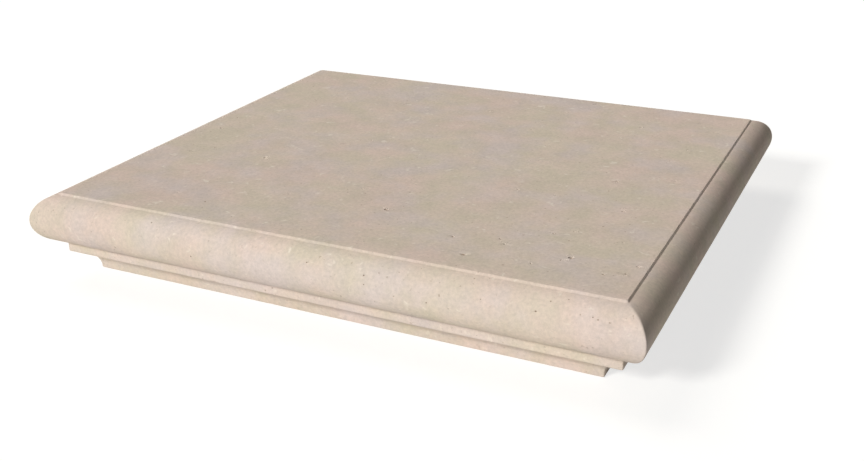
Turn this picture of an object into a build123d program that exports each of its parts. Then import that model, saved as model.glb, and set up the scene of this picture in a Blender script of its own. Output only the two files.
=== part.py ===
# Coping end cap in cast concrete.
# One solid rectangular slab with a flat top and a flat bed. The same moulding runs round all four
# sides and is mitred at the corners. From the top down it is a small riser, a half round,
# a square fillet, a quarter-round hollow and a low base band that stands on the bed.
# Millimetres, +Z up, origin at the centre of the bed.
from build123d import *
from math import sqrt
import os

# Overall size, over the half rounds
overall_length = 610
overall_depth = 538

# Moulding, from the top down
riser_height = 1.5
round_radius = 24.5
fillet_height = 12
hollow_radius = 20.5
base_height = 2

# The half round's centre lies a little inside the top arris
round_inset = 1.75

# Cast edges, a little soft
top_arris_radius = 0.6
lower_arris_radius = 1.2

# Levels above the bed
hollow_foot = base_height
fillet_foot = hollow_foot + hollow_radius
round_bottom = fillet_foot + fillet_height
round_centre = round_bottom + round_radius
overall_height = round_centre + round_radius + riser_height

# How far the half round stands out from the top arris. It meets the riser and the fillet, which
# are flush with that arris, just short of its own top and bottom
round_projection = round_radius - round_inset
round_half_chord = sqrt(round_radius**2 - round_inset**2)


def corners_at(level, corners):
    """The corners of a section that lie at one level above the bed."""
    return corners.filter_by(lambda v: abs(v.Y - level) < 0.001)


def moulded_section(overall_width, plane):
    """Full cross-section of the cap, with the moulding on both sides."""
    nose = overall_width / 2
    arris = nose - round_projection
    bed_edge = arris - hollow_radius
    fillet_top = round_centre - round_half_chord
    riser_foot = round_centre + round_half_chord
    with BuildSketch(plane) as section:
        with BuildLine():
            Line((0, 0), (bed_edge, 0))
            Line((bed_edge, 0), (bed_edge, hollow_foot))
            CenterArc((arris, hollow_foot), hollow_radius, 90, 90)
            Line((arris, fillet_foot), (arris, fillet_top))
            ThreePointArc((arris, fillet_top), (nose, round_centre), (arris, riser_foot))
            Line((arris, riser_foot), (arris, overall_height))
            Line((arris, overall_height), (0, overall_height))
            mirror(about=Plane.YZ)
        make_face()
        outer_corners = section.vertices().filter_by(lambda v: abs(v.X) > bed_edge / 2)
        fillet(corners_at(overall_height, outer_corners), top_arris_radius)
        fillet(corners_at(fillet_foot, outer_corners), lower_arris_radius)
        fillet(corners_at(0, outer_corners), lower_arris_radius)
    return section.sketch


# The two cross-sections, each run right through. What they share is the cap, so the mouldings
# meet in true mitres at the four corners
along_length = extrude(moulded_section(overall_depth, Plane.YZ), overall_length, both=True)
along_depth = extrude(moulded_section(overall_length, Plane.XZ), overall_depth, both=True)
coping_end_cap = along_length & along_depth

os.makedirs("parts", exist_ok=True)
export_step(coping_end_cap, "parts/coping_end_cap.step")
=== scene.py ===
"""Dressing of a cast concrete coping end cap.

One casting: a flat-topped rectangular slab with the same moulding mitred round its four sides.
From the top down the moulding is a riser, a half round, a fillet, a hollow and a base band.
Sizes are in millimetres and angles in degrees, up to where the mesh, lamps and camera are made.
"""

import math
import random

import bmesh
import bpy
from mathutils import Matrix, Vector, geometry, noise


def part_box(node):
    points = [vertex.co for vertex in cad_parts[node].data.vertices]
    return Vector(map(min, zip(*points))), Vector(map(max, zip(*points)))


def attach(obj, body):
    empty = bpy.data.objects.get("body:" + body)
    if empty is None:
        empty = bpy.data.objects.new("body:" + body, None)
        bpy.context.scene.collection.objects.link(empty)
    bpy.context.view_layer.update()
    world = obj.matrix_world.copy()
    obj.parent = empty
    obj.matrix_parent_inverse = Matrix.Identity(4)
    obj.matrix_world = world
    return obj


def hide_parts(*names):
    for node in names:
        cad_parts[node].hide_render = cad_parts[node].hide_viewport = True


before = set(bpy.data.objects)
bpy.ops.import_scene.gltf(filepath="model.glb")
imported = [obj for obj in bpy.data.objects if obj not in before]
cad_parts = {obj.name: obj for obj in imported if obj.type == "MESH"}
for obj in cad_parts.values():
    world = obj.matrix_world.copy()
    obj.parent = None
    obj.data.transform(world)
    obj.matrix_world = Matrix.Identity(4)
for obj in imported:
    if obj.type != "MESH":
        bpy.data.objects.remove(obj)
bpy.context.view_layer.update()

# One millimetre in metres
MM = 0.001

# The casting's overall size, from its plain solid in model.glb
cap_low, cap_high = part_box("coping_end_cap")
cap_length = (cap_high.x - cap_low.x) / MM
cap_depth = (cap_high.y - cap_low.y) / MM
cap_height = (cap_high.z - cap_low.z) / MM

# The moulding's members
riser_height = 1.5
round_radius = 24.5
round_inset = 1.75
hollow_radius = 20.5
base_height = 2.0

# Soft edges of the casting
top_arris_radius = 0.7
lower_arris_radius = 1.4
mitre_radius = 1.3

# The riser leans back from upright by its batter and stands with a tiny cove on the shoulder of
# the half round. This gives the light line along the lit front and the brown line along the
# shaded side
riser_batter = 43.0
riser_foot_out = 1.8
riser_cove_radius = 0.5

round_projection = round_radius - round_inset
round_chord = math.sqrt(round_radius ** 2 - round_inset ** 2)
round_centre = cap_height - riser_height - round_radius
fillet_foot = base_height + hollow_radius
arris_x = cap_length / 2 - round_projection
arris_y = cap_depth / 2 - round_projection

# The faces lie about this far inside the solid's own, which keeps their waviness in its box
skin_inset = 0.12

# Distances between the skin's points, and the end of each side where they close up to the mitre
side_gap = 5.2
top_gap = 6.0
bed_gap = 26.0
mitre_stretch = 4.0

# Points nearer than this become one, and edges sharper than this stay crisp
merge_distance = 0.02
crisp_angle = 38

# Lengths and depths of the waves that a mould and a trowel leave on a face, and a shift that
# keeps the one noise from following the other
broad_wave = 130.0
broad_wave_depth = 0.10
broad_wave_shift = Vector((5.0, 1.0, 8.0))
close_wave = 34.0
close_wave_depth = 0.045

# Losses along an arris: the spacing of the nicks and of their broken edges, how much of the
# arris they leave whole, how quickly they deepen, and the slight roughness of the rest. At
# a mitre they may be this much of a full nick
nick_spacing = 9.0
nick_break = 2.6
nick_break_shift = Vector((31.0, 7.0, 3.0))
nick_threshold = 0.52
nick_steepness = 2.6
arris_roughness = 0.07
mitre_nick = 0.8

# A point this near the last one counts as the same place on the section's outline
same_place = 1e-9


# Outline of the moulding

class Station:
    """One line that runs round the cap: how far it stands out from the top arris, its height,
    the way the surface faces there in radians, and how much of a full nick it may have.

    An arris may be nicked in full. A crease is an inner corner. The run is the distance down the
    outline from the flat top.
    """

    def __init__(self, out, height, facing, nick=0.0):
        self.out = out
        self.height = height
        self.facing = Vector((math.cos(facing), math.sin(facing)))
        self.nick = nick
        self.arris = nick == 1.0
        self.crease = False
        self.run = 0.0


def arc_stations(centre, radius, start, end, count, hollow=False, nick=0.0):
    """Stations along an arc, both ends and in this many steps. A hollow faces its centre, a round
    faces away from it."""
    made = []
    for i in range(count + 1):
        turn = math.radians(start + (end - start) * i / count)
        out = centre[0] + radius * math.cos(turn)
        height = centre[1] + radius * math.sin(turn)
        made.append(Station(out, height, turn + math.pi if hollow else turn, nick))
    return made


def riser_stations():
    """The soft top arris, the straight lean of the riser and the cove at its foot."""
    soft = top_arris_radius
    cove = riser_cove_radius
    lean = Vector((math.cos(math.radians(riser_batter)), math.sin(math.radians(riser_batter))))
    foot = round_centre + math.sqrt(round_radius ** 2 - (round_inset + riser_foot_out) ** 2)
    cove_centre = Vector((riser_foot_out, foot + cove))
    straight = (cap_height - soft - cove_centre.y + (soft + cove) * lean.y) / lean.x
    arris_centre = cove_centre - lean * (soft + cove) + Vector((-lean.y, lean.x)) * straight
    arris_arc = arc_stations(arris_centre, soft, start=90, end=riser_batter, count=4, nick=1.0)
    cove_arc = arc_stations(cove_centre, cove, start=180 + riser_batter, end=265, count=3,
                            hollow=True)
    for station in cove_arc:
        station.crease = True
    return arris_arc + cove_arc


def half_round_stations():
    """The half round, from the riser's foot round to a sharp inner corner at the fillet."""
    start = math.degrees(math.acos((round_inset + riser_foot_out) / round_radius))
    end = math.degrees(math.asin(round_inset / round_radius)) - 90
    made = arc_stations((-round_inset, round_centre), round_radius, start, end, count=40)
    made[-1].crease = True
    made[-1].facing = Vector((1.0, 0.0))
    return made


def fillet_stations():
    """The upright fillet, its lower arris and the start of its underside."""
    low = lower_arris_radius
    top = round_centre - round_chord
    made = []
    for share_down in (0.12, 0.5, 0.85):
        height = top + (fillet_foot + low - top) * share_down
        made.append(Station(0.0, height, facing=0.0, nick=0.1))
    made += arc_stations((-low, fillet_foot + low), low, start=0, end=-90, count=4, nick=1.0)
    underside_in = 0.5
    underside_drop = 0.02
    made.append(Station(-low - underside_in, fillet_foot - underside_drop, math.radians(-88)))
    return made


def hollow_and_base_stations():
    """The quarter-round hollow, the low base band and its arris on the bed."""
    low = lower_arris_radius
    hollow = arc_stations((0.0, base_height), hollow_radius, start=97, end=180, count=12,
                          hollow=True)
    band = Station(-hollow_radius, low, facing=0.0, nick=0.4)
    foot_arris = arc_stations((-hollow_radius - low, low), low, start=0, end=-90, count=4, nick=1.0)
    return hollow + [band] + foot_arris[1:]


def moulding_stations():
    """The whole section from the flat top down to the bed, with the run of its outline."""
    made = riser_stations() + half_round_stations() + fillet_stations()
    made += hollow_and_base_stations()
    for before, here in zip(made, made[1:]):
        step = math.hypot(here.out - before.out, here.height - before.height)
        here.run = before.run + step
    return made


stations = moulding_stations()


def section_at(run):
    """The section after this much of its outline: how far out it is, how high, which way it
    faces, and how much of a full nick it may have."""
    run = min(max(run, 0.0), stations[-1].run)
    for before, here in zip(stations, stations[1:]):
        if run <= here.run + same_place:
            break
    share = (run - before.run) / max(here.run - before.run, same_place)
    out = before.out + (here.out - before.out) * share
    height = before.height + (here.height - before.height) * share
    facing = before.facing.lerp(here.facing, share).normalized()
    nick = before.nick + (here.nick - before.nick) * share
    return out, height, facing, nick


def run_at_height(height):
    """How far down the section's outline a height above the bed is reached."""
    for before, here in zip(stations, stations[1:]):
        if here.height <= height < before.height:
            share = (before.height - height) / (before.height - here.height)
            return before.run + (here.run - before.run) * share
    return stations[-1].run


# Air holes

# Each hole's own shape is drawn from here, in the order in which the holes are made
dice = random.Random(41)

# Rings of points from just outside an air hole's rim to near its bottom: share of its radius,
# number of points, and how far the ring is turned, as a share of the step between its points
rim_points = 9
hole_rings = (
    (1.3, rim_points, 0.0),
    (1.0, rim_points, 0.0),
    (0.82, rim_points, 0.5),
    (0.45, 6, 0.5),
)

# In radii from the middle of a hole: where the face starts to sink in, what is kept clear of
# the face's other points, and how far the hole stays from an arris or a crease
sink_reach = 1.08
clear_reach = 1.5
edge_reach = 2.2

# Scattered holes keep this many times the sum of their radii apart, stay this far from those
# already there, and leave this much of a side's length free at its two mitres together
scatter_spacing = 4.0
hole_gap = 9
mitre_margins = 20

# A power that makes most scattered holes small, and the tries that each may take to find room
small_bias = 3.2
tries_per_hole = 60


class AirHole:
    """A small open bubble in the face of the casting, placed across and along the flat layout
    of that face, often a little longer across. Its outline is uneven and its depth varies."""

    def __init__(self, across, along, radius):
        self.across = across
        self.along = along
        self.radius = radius
        self.depth = radius * dice.uniform(0.7, 1.1)
        self.stretch = dice.uniform(1.0, 1.5)
        self.wobble = [dice.uniform(0.82, 1.12) for _ in range(rim_points)]

    def rings(self):
        """Points round the rim, down the wall and at the bottom of the hole."""
        points = []
        for share, count, offset in hole_rings:
            for i in range(count):
                turn = math.tau * (i + offset) / count
                reach = self.radius * share * self.wobble[i]
                points.append((self.across + self.stretch * reach * math.cos(turn),
                               self.along + reach * math.sin(turn)))
        points.append((self.across, self.along))
        return points

    def away(self, x, y):
        """Distance from the middle, in radii."""
        return math.hypot((x - self.across) / self.stretch, y - self.along) / self.radius

    def sink(self, x, y):
        """How deep the face is pushed in at a point."""
        return self.depth * max(0.0, 1.0 - (self.away(x, y) / sink_reach) ** 3)


def scatter_holes(width, height, margin, count, seed, least, most):
    """Air holes of the least to the most radius, spread over a face at random, none too near
    another."""
    roll = random.Random(seed)
    made = []
    tries = 0
    while len(made) < count and tries < count * tries_per_hole:
        tries += 1
        x = roll.uniform(-width / 2 + margin, width / 2 - margin)
        y = roll.uniform(margin, height - margin)
        radius = least + (most - least) * roll.random() ** small_bias
        if all(math.hypot(x - h.across, y - h.along) > scatter_spacing * (radius + h.radius)
               for h in made):
            made.append(AirHole(x, y, radius))
    return made


def add_clear_holes(holes, scattered):
    """Add the scattered air holes that lie clear of the ones already there."""
    for hole in scattered:
        if all(math.hypot(hole.across - h.across, hole.along - h.along) > hole_gap for h in holes):
            holes.append(hole)


def sink_at(holes, x, y):
    """How deep the air holes push a face in at a point."""
    return max([hole.sink(x, y) for hole in holes], default=0.0)


def hole_shade_at(holes, x, y):
    """How much painted shade of the air holes a point of a face takes, from 0 outside them to 1 at
    the bottom of one.
    """
    return max([hole.sink(x, y) / hole.depth for hole in holes], default=0.0)


def clear_of(holes, place):
    """Whether a point of a face is outside the rings of every air hole."""
    return all(hole.away(*place) >= clear_reach for hole in holes)


# Wear of the faces

def nick_depth(place):
    """Small losses along an arris: mostly almost none, here and there a nick up to about
    a millimetre deep."""
    coarse = noise.noise(place / nick_spacing)
    fine = noise.noise(place / nick_break + nick_break_shift)
    nick = max(0.0, coarse - nick_threshold) * nick_steepness * (0.6 + 0.4 * fine)
    return arris_roughness * abs(fine) + nick


def trowel_wave(place):
    """The faint waviness that a mould and a trowel leave on a face."""
    broad = noise.noise(place / broad_wave + broad_wave_shift)
    close = noise.noise(place / close_wave)
    return broad_wave_depth * broad + close_wave_depth * close


# Faces of the casting

def spread(points, loop_count, creases):
    """Triangles over a flat layout of points, kept inside the first points, which are its edge."""
    layout = [Vector(p) for p in points]
    edges = [(i, (i + 1) % loop_count) for i in range(loop_count)] + creases
    inside_only = 1
    tolerance = 1e-5
    verts, _, faces, _, _, _ = geometry.delaunay_2d_cdt(layout, edges, [], inside_only, tolerance)
    return verts, faces


def row_places(half, count):
    """Places along one side's line, closer together at the mitres."""
    ends = [0.0, mitre_radius / 3, mitre_radius * 2 / 3, mitre_radius, mitre_radius + 0.5]
    inner = half - mitre_stretch
    body = [-inner + 2 * inner * i / count for i in range(count + 1)]
    return [-half + e for e in ends] + body + [half - e for e in reversed(ends)]


def side_point(half, reach, tangent, outward, x, run, holes):
    """A point of one side: along it, down the section, with its mitre, nicks, wave and holes."""
    out, height, facing, nick = section_at(run)
    to_mitre = half + out - abs(x)
    along = x
    away = reach + out
    turn_out = outward
    if to_mitre < mitre_radius:
        sign = 1.0 if x > 0 else -1.0
        turn = math.pi / 4 * (1.0 - max(to_mitre, 0.0) / mitre_radius)
        along = sign * (half + out - mitre_radius + mitre_radius * math.sin(turn))
        away = reach + out - mitre_radius + mitre_radius * math.cos(turn)
        turn_out = outward * math.cos(turn) + tangent * (sign * math.sin(turn))
        nick = max(nick, mitre_nick * (1.0 - to_mitre / mitre_radius))
    place = tangent * along + outward * away + Vector((0.0, 0.0, height))
    normal = turn_out * facing.x + Vector((0.0, 0.0, facing.y))
    loss = nick * nick_depth(place) + skin_inset + trowel_wave(place)
    loss += sink_at(holes, x, run)
    return place - normal * max(loss, 0.0)


def side_holes(half, seed, known):
    """Air holes of one side: the known ones and some scattered ones, off arrises and creases."""
    holes = [AirHole(x, run_at_height(height), radius) for x, height, radius in known]
    scattered = scatter_holes(2 * half - mitre_margins, stations[-1].run, margin=4.5, count=18,
                              seed=seed, least=0.35, most=0.6)
    add_clear_holes(holes, scattered)
    edges = [station.run for station in stations if station.crease or station.arris]
    return [hole for hole in holes
            if all(abs(hole.along - edge) > edge_reach * hole.radius for edge in edges)]


def side_face(half, reach, tangent, outward, seed, known):
    """One side's moulding as a skin over its unrolled section: its points, its triangles, the painted
    shade of the air holes at each point, and the lines where it meets the flat top and the bed."""
    holes = side_holes(half, seed, known)
    count = round(2 * half / side_gap)
    rows = []
    for station in stations:
        places = row_places(half + station.out, count * 2 if station.arris else count)
        rows.append([(x, station.run) for x in places])

    # The edge of the layout goes along the top, down the right end, back along the bed and up
    top_row = rows[0]
    bed_row = rows[-1]
    loop = list(top_row)
    loop += [row[-1] for row in rows[1:-1]]
    loop += list(reversed(bed_row))
    loop += [row[0] for row in reversed(rows[1:-1])]

    # Inside it the rows are laid one by one. Arrises and creases are chained from end to end
    points = list(loop)
    creases = []
    for number, (station, row) in enumerate(zip(stations[1:-1], rows[1:-1])):
        inner = []
        for place in row[1:-1]:
            if clear_of(holes, place):
                inner.append(len(points))
                points.append(place)
        if station.crease or station.arris:
            left_end = len(loop) - 1 - number
            right_end = len(top_row) + number
            chain = [left_end] + inner + [right_end]
            creases += list(zip(chain, chain[1:]))
    for hole in holes:
        points += hole.rings()
    verts, faces = spread(points, len(loop), creases)

    def placed_at(x, run):
        return side_point(half, reach, tangent, outward, x, run, holes)

    placed = [placed_at(v.x, v.y) for v in verts]
    # How much painted shade of the air holes each point takes
    hole_shade = [hole_shade_at(holes, v.x, v.y) for v in verts]
    rim = [placed_at(x, run) for x, run in top_row]
    foot = [placed_at(x, run) for x, run in bed_row]
    return placed, faces, hole_shade, rim, foot


def steps(low, high, gap):
    """Evenly spaced values from low to high, about one gap apart."""
    count = max(2, round((high - low) / gap))
    return [low + (high - low) * (i / count) for i in range(count + 1)]


def flat_face(rim, level, gap, holes, wavy):
    """The flat top or the bed, filled inside the line that the four sides leave: its points, its
    triangles and the painted shade of the air holes at each point."""
    # The grid stays a little over half a gap inside the rim
    margin = gap * 0.6
    across = steps(min(p.x for p in rim) + margin, max(p.x for p in rim) - margin, gap)
    back = steps(min(p.y for p in rim) + margin, max(p.y for p in rim) - margin, gap)
    points = [(p.x, p.y) for p in rim]
    points += [(x, y) for x in across for y in back if clear_of(holes, (x, y))]
    for hole in holes:
        points += hole.rings()
    verts, faces = spread(points, len(rim), [])

    # The rim's points, known by their place to a thousandth of a millimetre, keep their own
    # height, so that the face closes on the sides
    rim_height = {(round(p.x, 3), round(p.y, 3)): p.z for p in rim}
    placed = []
    for v in verts:
        height = rim_height.get((round(v.x, 3), round(v.y, 3)))
        if height is None:
            height = level
            if wavy:
                inward = skin_inset + trowel_wave(Vector((v.x, v.y, level)))
                height -= inward + sink_at(holes, v.x, v.y)
        placed.append(Vector((v.x, v.y, height)))
    # How much painted shade of the air holes each point takes
    hole_shade = [hole_shade_at(holes, v.x, v.y) for v in verts]
    return placed, faces, hole_shade


# Air holes that show in the flat top, measured from the middle of the top: right, back, radius
top_holes_seen = [
    (218, -190, 2.1),
    (134, -220, 1.5),
    (29, -158, 1.75),
    (111, -190, 1.05),
    (202, -5, 1.1),
    (252, -210, 0.95),
    (268, -202, 0.9),
    (-155, -82, 1.0),
    (-263, 23, 1.0),
    (150, -178, 0.85),
    (121, -63, 0.9),
    (273, -185, 0.8),
    (212, -198, 0.75),
    (188, -149, 0.8),
    (192, -214, 0.75),
    (177, 169, 1.1),
]

# Air holes that show in the front's half round: right of the middle, above the bed, radius
front_holes_seen = [
    (63.7, 71.8, 0.66),
    (215.7, 70.8, 0.62),
    (260.9, 74.2, 0.46),
    (-161.2, 78.8, 0.6),
    (8.0, 72.8, 0.6),
    (225.5, 78.6, 0.48),
    (-112.2, 57.8, 0.6),
    (64.9, 64.8, 0.5),
    (238.7, 81.0, 0.42),
    (142.4, 58.7, 0.45),
]


def top_face_holes():
    """Air holes of the flat top: the ones that show and some scattered ones."""
    holes = [AirHole(*spec) for spec in top_holes_seen]
    scattered = scatter_holes(2 * arris_x, 2 * arris_y, margin=9.0, count=46, seed=5, least=0.4,
                              most=1.0)
    for hole in scattered:
        hole.along -= arris_y
    add_clear_holes(holes, scattered)
    return holes


def build_cap():
    """The whole casting as one closed skin."""
    mesh = bmesh.new()
    # Each point keeps its painted shade of the air holes for the material
    hole_shade_layer = mesh.verts.layers.float.new("hole_painted_shade")

    def add_skin(placed, faces, hole_shade, flip=False):
        """Add one face's points, with their painted shade of the air holes, and its triangles, in
        metres, turned over if need be.
        """
        made = []
        for place, dark in zip(placed, hole_shade):
            vert = mesh.verts.new(place * MM)
            vert[hole_shade_layer] = dark
            made.append(vert)
        for face in faces:
            corners = [made[i] for i in face]
            mesh.faces.new(reversed(corners) if flip else corners)

    # Front, right, back and left: half the length of the top arris, its distance from the
    # middle, the way along it and out of it, a seed, and the air holes that show
    east = Vector((1.0, 0.0, 0.0))
    north = Vector((0.0, 1.0, 0.0))
    sides = [
        (arris_x, arris_y, east, -north, 7, front_holes_seen),
        (arris_y, arris_x, north, east, 19, []),
        (arris_x, arris_y, -east, north, 23, []),
        (arris_y, arris_x, -north, -east, 31, []),
    ]
    top_rim = []
    bed_rim = []
    for side in sides:
        placed, faces, hole_shade, rim, foot = side_face(*side)
        add_skin(placed, faces, hole_shade, flip=True)
        top_rim += rim[:-1]
        bed_rim += foot[:-1]
    add_skin(*flat_face(top_rim, cap_height, top_gap, top_face_holes(), wavy=True))
    add_skin(*flat_face(bed_rim, 0.0, bed_gap, [], wavy=False), flip=True)

    bmesh.ops.remove_doubles(mesh, verts=mesh.verts, dist=merge_distance * MM)
    bmesh.ops.recalc_face_normals(mesh, faces=mesh.faces)
    for face in mesh.faces:
        face.smooth = True
    data = bpy.data.meshes.new("coping_cap_casting")
    mesh.to_mesh(data)
    mesh.free()
    data.set_sharp_from_angle(angle=math.radians(crisp_angle))
    made_cap = bpy.data.objects.new("coping_cap_casting", data)
    bpy.context.scene.collection.objects.link(made_cap)
    return made_cap


# Materials

white = (1.0, 1.0, 1.0, 1.0)


def paint(hex_colour):
    """An sRGB hex colour as linear red, green, blue and alpha."""
    def linear(part):
        value = int(part, 16) / 255
        return value / 12.92 if value <= 0.04045 else ((value + 0.055) / 1.055) ** 2.4
    return tuple(linear(hex_colour[i:i + 2]) for i in (1, 3, 5)) + (1.0,)


def add(tree, kind, settings=None, **links):
    """One node with its settings, its plain input values and its links from other nodes.

    An input goes by its name or, where several share one, by i and its number. A colour mix
    has its share at i0 and its two colours at i6 and i7.
    """
    node = tree.nodes.new(kind)
    for name, value in (settings or {}).items():
        setattr(node, name, value)
    for name, value in links.items():
        key = int(name[1:]) if name[0] == "i" and name[1:].isdigit() else name.replace("_", " ")
        socket = node.inputs[key]
        if isinstance(value, bpy.types.NodeSocket):
            tree.links.new(value, socket)
        else:
            socket.default_value = value
    return node


def every(size_mm):
    """Texture scale for a pattern that repeats about every so many millimetres."""
    return 1000.0 / size_mm


def cast_concrete():
    """Fine cast concrete: white cement and buff sand, poured in a smooth mould and left bare.

    It is matt and pale, with a soft cloudy tone that drifts from rosy to olive, a sandy speckle, pale
    lime blotches and a few brown grains. Its small open air holes have painted brown shade, darker
    towards their bottoms.
    """
    made = bpy.data.materials.new("cast_concrete")
    made.use_nodes = True
    tree = made.node_tree
    tree.nodes.clear()
    place = add(tree, "ShaderNodeTexCoord").outputs["Object"]

    # Slow drift of tint over the casting, where the sand or the water in the mix varied:
    # rosy to olive, with greyer lavender patches of cement skin
    drift = add(tree, "ShaderNodeTexNoise", Vector=place, Scale=every(60), Detail=3.0, Roughness=0.6)
    drift_parts = add(tree, "ShaderNodeSeparateColor", Color=drift.outputs["Color"])
    rosy = add(tree, "ShaderNodeMapRange", Value=drift_parts.outputs["Red"], From_Min=0.36,
               From_Max=0.64, To_Min=0.0, To_Max=1.0)
    sand_tint = add(tree, "ShaderNodeMix", {"data_type": "RGBA"}, i0=rosy.outputs["Result"],
                    i6=paint("#CFC1AC"), i7=paint("#D3BEAF"))
    skin = add(tree, "ShaderNodeMapRange", Value=drift_parts.outputs["Green"], From_Min=0.46,
               From_Max=0.68, To_Min=0.0, To_Max=0.8)
    body = add(tree, "ShaderNodeMix", {"data_type": "RGBA"}, i0=skin.outputs["Result"],
               i6=sand_tint.outputs["Result"], i7=paint("#CEBFB7"))

    # Clouds of cement paste, a few centimetres across
    cloud = add(tree, "ShaderNodeTexNoise", Vector=place, Scale=every(30), Detail=4.0, Roughness=0.55)
    cloud_tone = add(tree, "ShaderNodeMapRange", Value=cloud.outputs["Fac"], From_Min=0.3,
                     From_Max=0.7, To_Min=0.95, To_Max=1.05)
    clouded = add(tree, "ShaderNodeVectorMath", {"operation": "SCALE"},
                  Vector=body.outputs["Result"], Scale=cloud_tone.outputs["Result"])

    # Sand in the face. The real grains are about 0.5 mm, drawn at 3 mm and finer so that they show
    sand = add(tree, "ShaderNodeTexNoise", Vector=place, Scale=every(3), Detail=3.0, Roughness=0.72)
    sand_tone = add(tree, "ShaderNodeMapRange", Value=sand.outputs["Fac"], From_Min=0.25,
                    From_Max=0.75, To_Min=0.885, To_Max=1.115)
    sanded = add(tree, "ShaderNodeVectorMath", {"operation": "SCALE"},
                 Vector=clouded.outputs["Vector"], Scale=sand_tone.outputs["Result"])

    # Soft pale blotches of lime, uneven in outline, three to eight millimetres
    lime = add(tree, "ShaderNodeTexNoise", Vector=place, Scale=every(9), Detail=2.0, Roughness=0.6,
               Distortion=0.5)
    lime_amount = add(tree, "ShaderNodeMapRange", Value=lime.outputs["Fac"], From_Min=0.64,
                      From_Max=0.76, To_Min=0.0, To_Max=0.62)
    limed = add(tree, "ShaderNodeMix", {"data_type": "RGBA"}, i0=lime_amount.outputs["Result"],
                i6=sanded.outputs["Vector"], i7=paint("#E9DECD"))

    # Brown grains and pin holes, one to two millimetres, ragged and gathered here and there
    grain = add(tree, "ShaderNodeTexNoise", Vector=place, Scale=every(3.4), Detail=1.0, Roughness=0.5)
    grain_dark = add(tree, "ShaderNodeMapRange", Value=grain.outputs["Fac"], From_Min=0.30,
                     From_Max=0.20, To_Min=0.0, To_Max=0.8)
    grain_patch = add(tree, "ShaderNodeMapRange", Value=drift_parts.outputs["Blue"], From_Min=0.45,
                      From_Max=0.62, To_Min=0.25, To_Max=1.0)
    grain_amount = add(tree, "ShaderNodeMath", {"operation": "MULTIPLY"},
                       i0=grain_dark.outputs["Result"], i1=grain_patch.outputs["Result"])
    grained = add(tree, "ShaderNodeMix", {"data_type": "RGBA"}, i0=grain_amount.outputs["Value"],
                  i6=limed.outputs["Result"], i7=paint("#8F745C"))

    # Painted brown shade in the open air holes, darker towards their bottoms
    hole = add(tree, "ShaderNodeAttribute", {"attribute_name": "hole_painted_shade"})
    hole_shade_amount = add(tree, "ShaderNodeMapRange", Value=hole.outputs["Fac"], From_Min=0.1, From_Max=0.8,
                To_Min=0.0, To_Max=0.85)
    hole_shaded = add(tree, "ShaderNodeMix", {"data_type": "RGBA"}, i0=hole_shade_amount.outputs["Result"],
                 i6=grained.outputs["Result"], i7=paint("#7A614B"))

    # A sandy tooth, and the pin holes a little sunk
    tooth = add(tree, "ShaderNodeMath", {"operation": "SUBTRACT"}, i0=sand.outputs["Fac"],
                i1=grain_amount.outputs["Value"])
    bump = add(tree, "ShaderNodeBump", Strength=0.35, Distance=0.0004, Height=tooth.outputs["Value"])
    surface = add(tree, "ShaderNodeBsdfPrincipled", Base_Color=hole_shaded.outputs["Result"],
                  Roughness=0.88, IOR=1.5, Normal=bump.outputs["Normal"])
    add(tree, "ShaderNodeOutputMaterial", Surface=surface.outputs["BSDF"])
    return made


def studio_floor():
    """Pale matt floor. It throws plain pale light on the cap, and to the camera it is near white,
    a grey that a glow lifts, so that the cap's shadow stays on it."""
    made = bpy.data.materials.new("studio_floor")
    made.use_nodes = True
    tree = made.node_tree
    tree.nodes.clear()
    ray = add(tree, "ShaderNodeLightPath")
    seen = add(tree, "ShaderNodeMath", {"operation": "MAXIMUM"}, i0=ray.outputs["Is Camera Ray"],
               i1=ray.outputs["Is Glossy Ray"])
    pale = add(tree, "ShaderNodeBsdfDiffuse", Color=paint("#F0F0EE"))
    soft = add(tree, "ShaderNodeBsdfDiffuse", Color=paint("#A6A49F"))
    glow = add(tree, "ShaderNodeEmission", Color=white, Strength=0.72)
    bright = add(tree, "ShaderNodeAddShader", i0=soft.outputs["BSDF"], i1=glow.outputs["Emission"])
    shown = add(tree, "ShaderNodeMixShader", i0=seen.outputs["Value"], i1=pale.outputs["BSDF"],
                i2=bright.outputs["Shader"])
    add(tree, "ShaderNodeOutputMaterial", Surface=shown.outputs["Shader"])
    return made


# The casting, in place of its plain solid
cap = build_cap()
cap.data.materials.append(cast_concrete())
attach(cap, "root")
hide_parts("coping_end_cap")

# Studio floor, reaching this many metres each way
floor_reach = 5.0
floor_data = bpy.data.meshes.new("studio_floor")
floor_data.from_pydata([(-floor_reach, -floor_reach, 0.0), (floor_reach, -floor_reach, 0.0),
                        (floor_reach, floor_reach, 0.0), (-floor_reach, floor_reach, 0.0)],
                       [], [(0, 1, 2, 3)])
floor = bpy.data.objects.new("studio_floor", floor_data)
floor_data.materials.append(studio_floor())
bpy.context.scene.collection.objects.link(floor)


# Light

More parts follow.
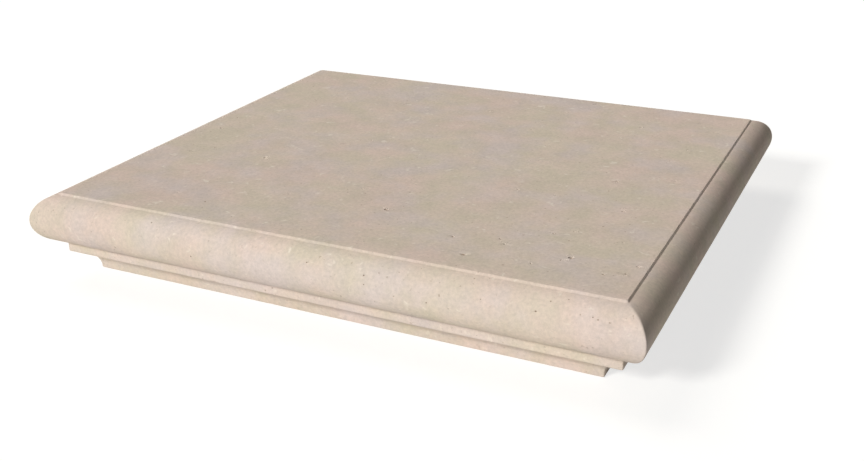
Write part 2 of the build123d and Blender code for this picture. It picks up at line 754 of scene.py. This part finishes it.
def lamp(name, left_of_front, elevation, spread_angle, strength, colour):
    """A far lamp behind a round diffuser, set by its angle left of straight in front of the cap
    and its height above the floor."""
    data = bpy.data.lights.new(name, "SUN")
    data.energy = strength
    data.angle = math.radians(spread_angle)
    data.color = colour
    made = bpy.data.objects.new(name, data)
    turn = math.radians(left_of_front)
    rise = math.radians(elevation)
    towards = Vector((-math.sin(turn) * math.cos(rise), -math.cos(turn) * math.cos(rise),
                      math.sin(rise)))
    made.matrix_world = towards.to_track_quat("Z", "Y").to_matrix().to_4x4()
    bpy.context.scene.collection.objects.link(made)
    return made


# The key lamp is a little left of the front. The side lamp is high up on the left and a little
# behind, and lights the top and the shoulder of the right side
lamp("key_lamp", left_of_front=24, elevation=30, spread_angle=12, strength=3.14,
     colour=(0.965, 0.985, 1.0))
lamp("side_lamp", left_of_front=112, elevation=52, spread_angle=40, strength=1.26,
     colour=(1.0, 0.975, 0.95))

# The air adds a faint, slightly blue light from all round, and to the camera it is white
world = bpy.data.worlds.new("studio_air")
world.use_nodes = True
bpy.context.scene.world = world
air = world.node_tree
air.nodes.clear()
air_ray = add(air, "ShaderNodeLightPath")
air_light = add(air, "ShaderNodeBackground", Color=(0.93, 0.96, 1.0, 1.0), Strength=0.027)
air_shown = add(air, "ShaderNodeBackground", Color=white, Strength=1.0)
air_mix = add(air, "ShaderNodeMixShader", i0=air_ray.outputs["Is Camera Ray"],
              i1=air_light.outputs["Background"], i2=air_shown.outputs["Background"])
add(air, "ShaderNodeOutputWorld", Surface=air_mix.outputs["Shader"])

# Camera, at the photograph's place, turned and rolled as its lines need
camera_data = bpy.data.cameras.new("photo_camera")
camera_data.sensor_width = 36.0
camera_data.lens = 45.144
camera_data.clip_end = 50.0
camera = bpy.data.objects.new("photo_camera", camera_data)
camera.location = (0.47058, -0.9693, 0.46142)
camera.rotation_euler = [math.radians(angle) for angle in (66.646, 0.856, 25.614)]
bpy.context.scene.collection.objects.link(camera)
bpy.context.scene.camera = camera

bpy.context.scene.view_settings.view_transform = "Standard"

bpy.context.view_layer.update()
